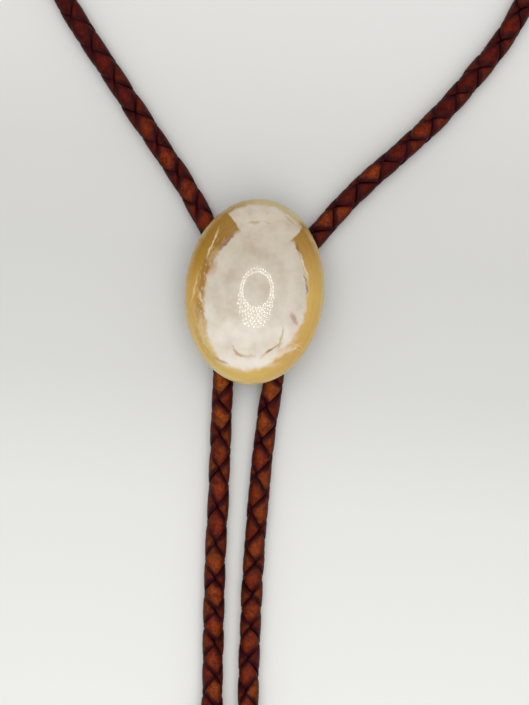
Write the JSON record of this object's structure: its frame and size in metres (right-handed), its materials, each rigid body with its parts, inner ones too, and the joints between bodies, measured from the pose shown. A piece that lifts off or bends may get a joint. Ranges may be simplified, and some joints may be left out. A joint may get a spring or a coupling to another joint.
{
  "type": "bolo tie",
  "caption": "Oval domed stone on a metal cord clasp, with a braided leather cord that forms a neck loop and two tails ending in metal tips.",
  "frame": {"origin": "under the middle of the stone, on the surface that the tie lies on", "axes": "+Y along the stone's long axis towards the neck loop, +Z out of the stone's face, +X to the stone's right as it is looked at"},
  "size_m": [0.12, 0.2914, 0.0155],
  "materials": {
    "stone": "polished",
    "nickel": "polished",
    "leather": "satin"
  },
  "bodies": {
    "root": {"stone": "stone", "cord_clasp": "nickel", "cord_neck_loop": "leather", "cord_left_tail": "leather", "cord_right_tail": "leather", "tip_left": "nickel", "tip_right": "nickel"}
  },
  "joints": []
}
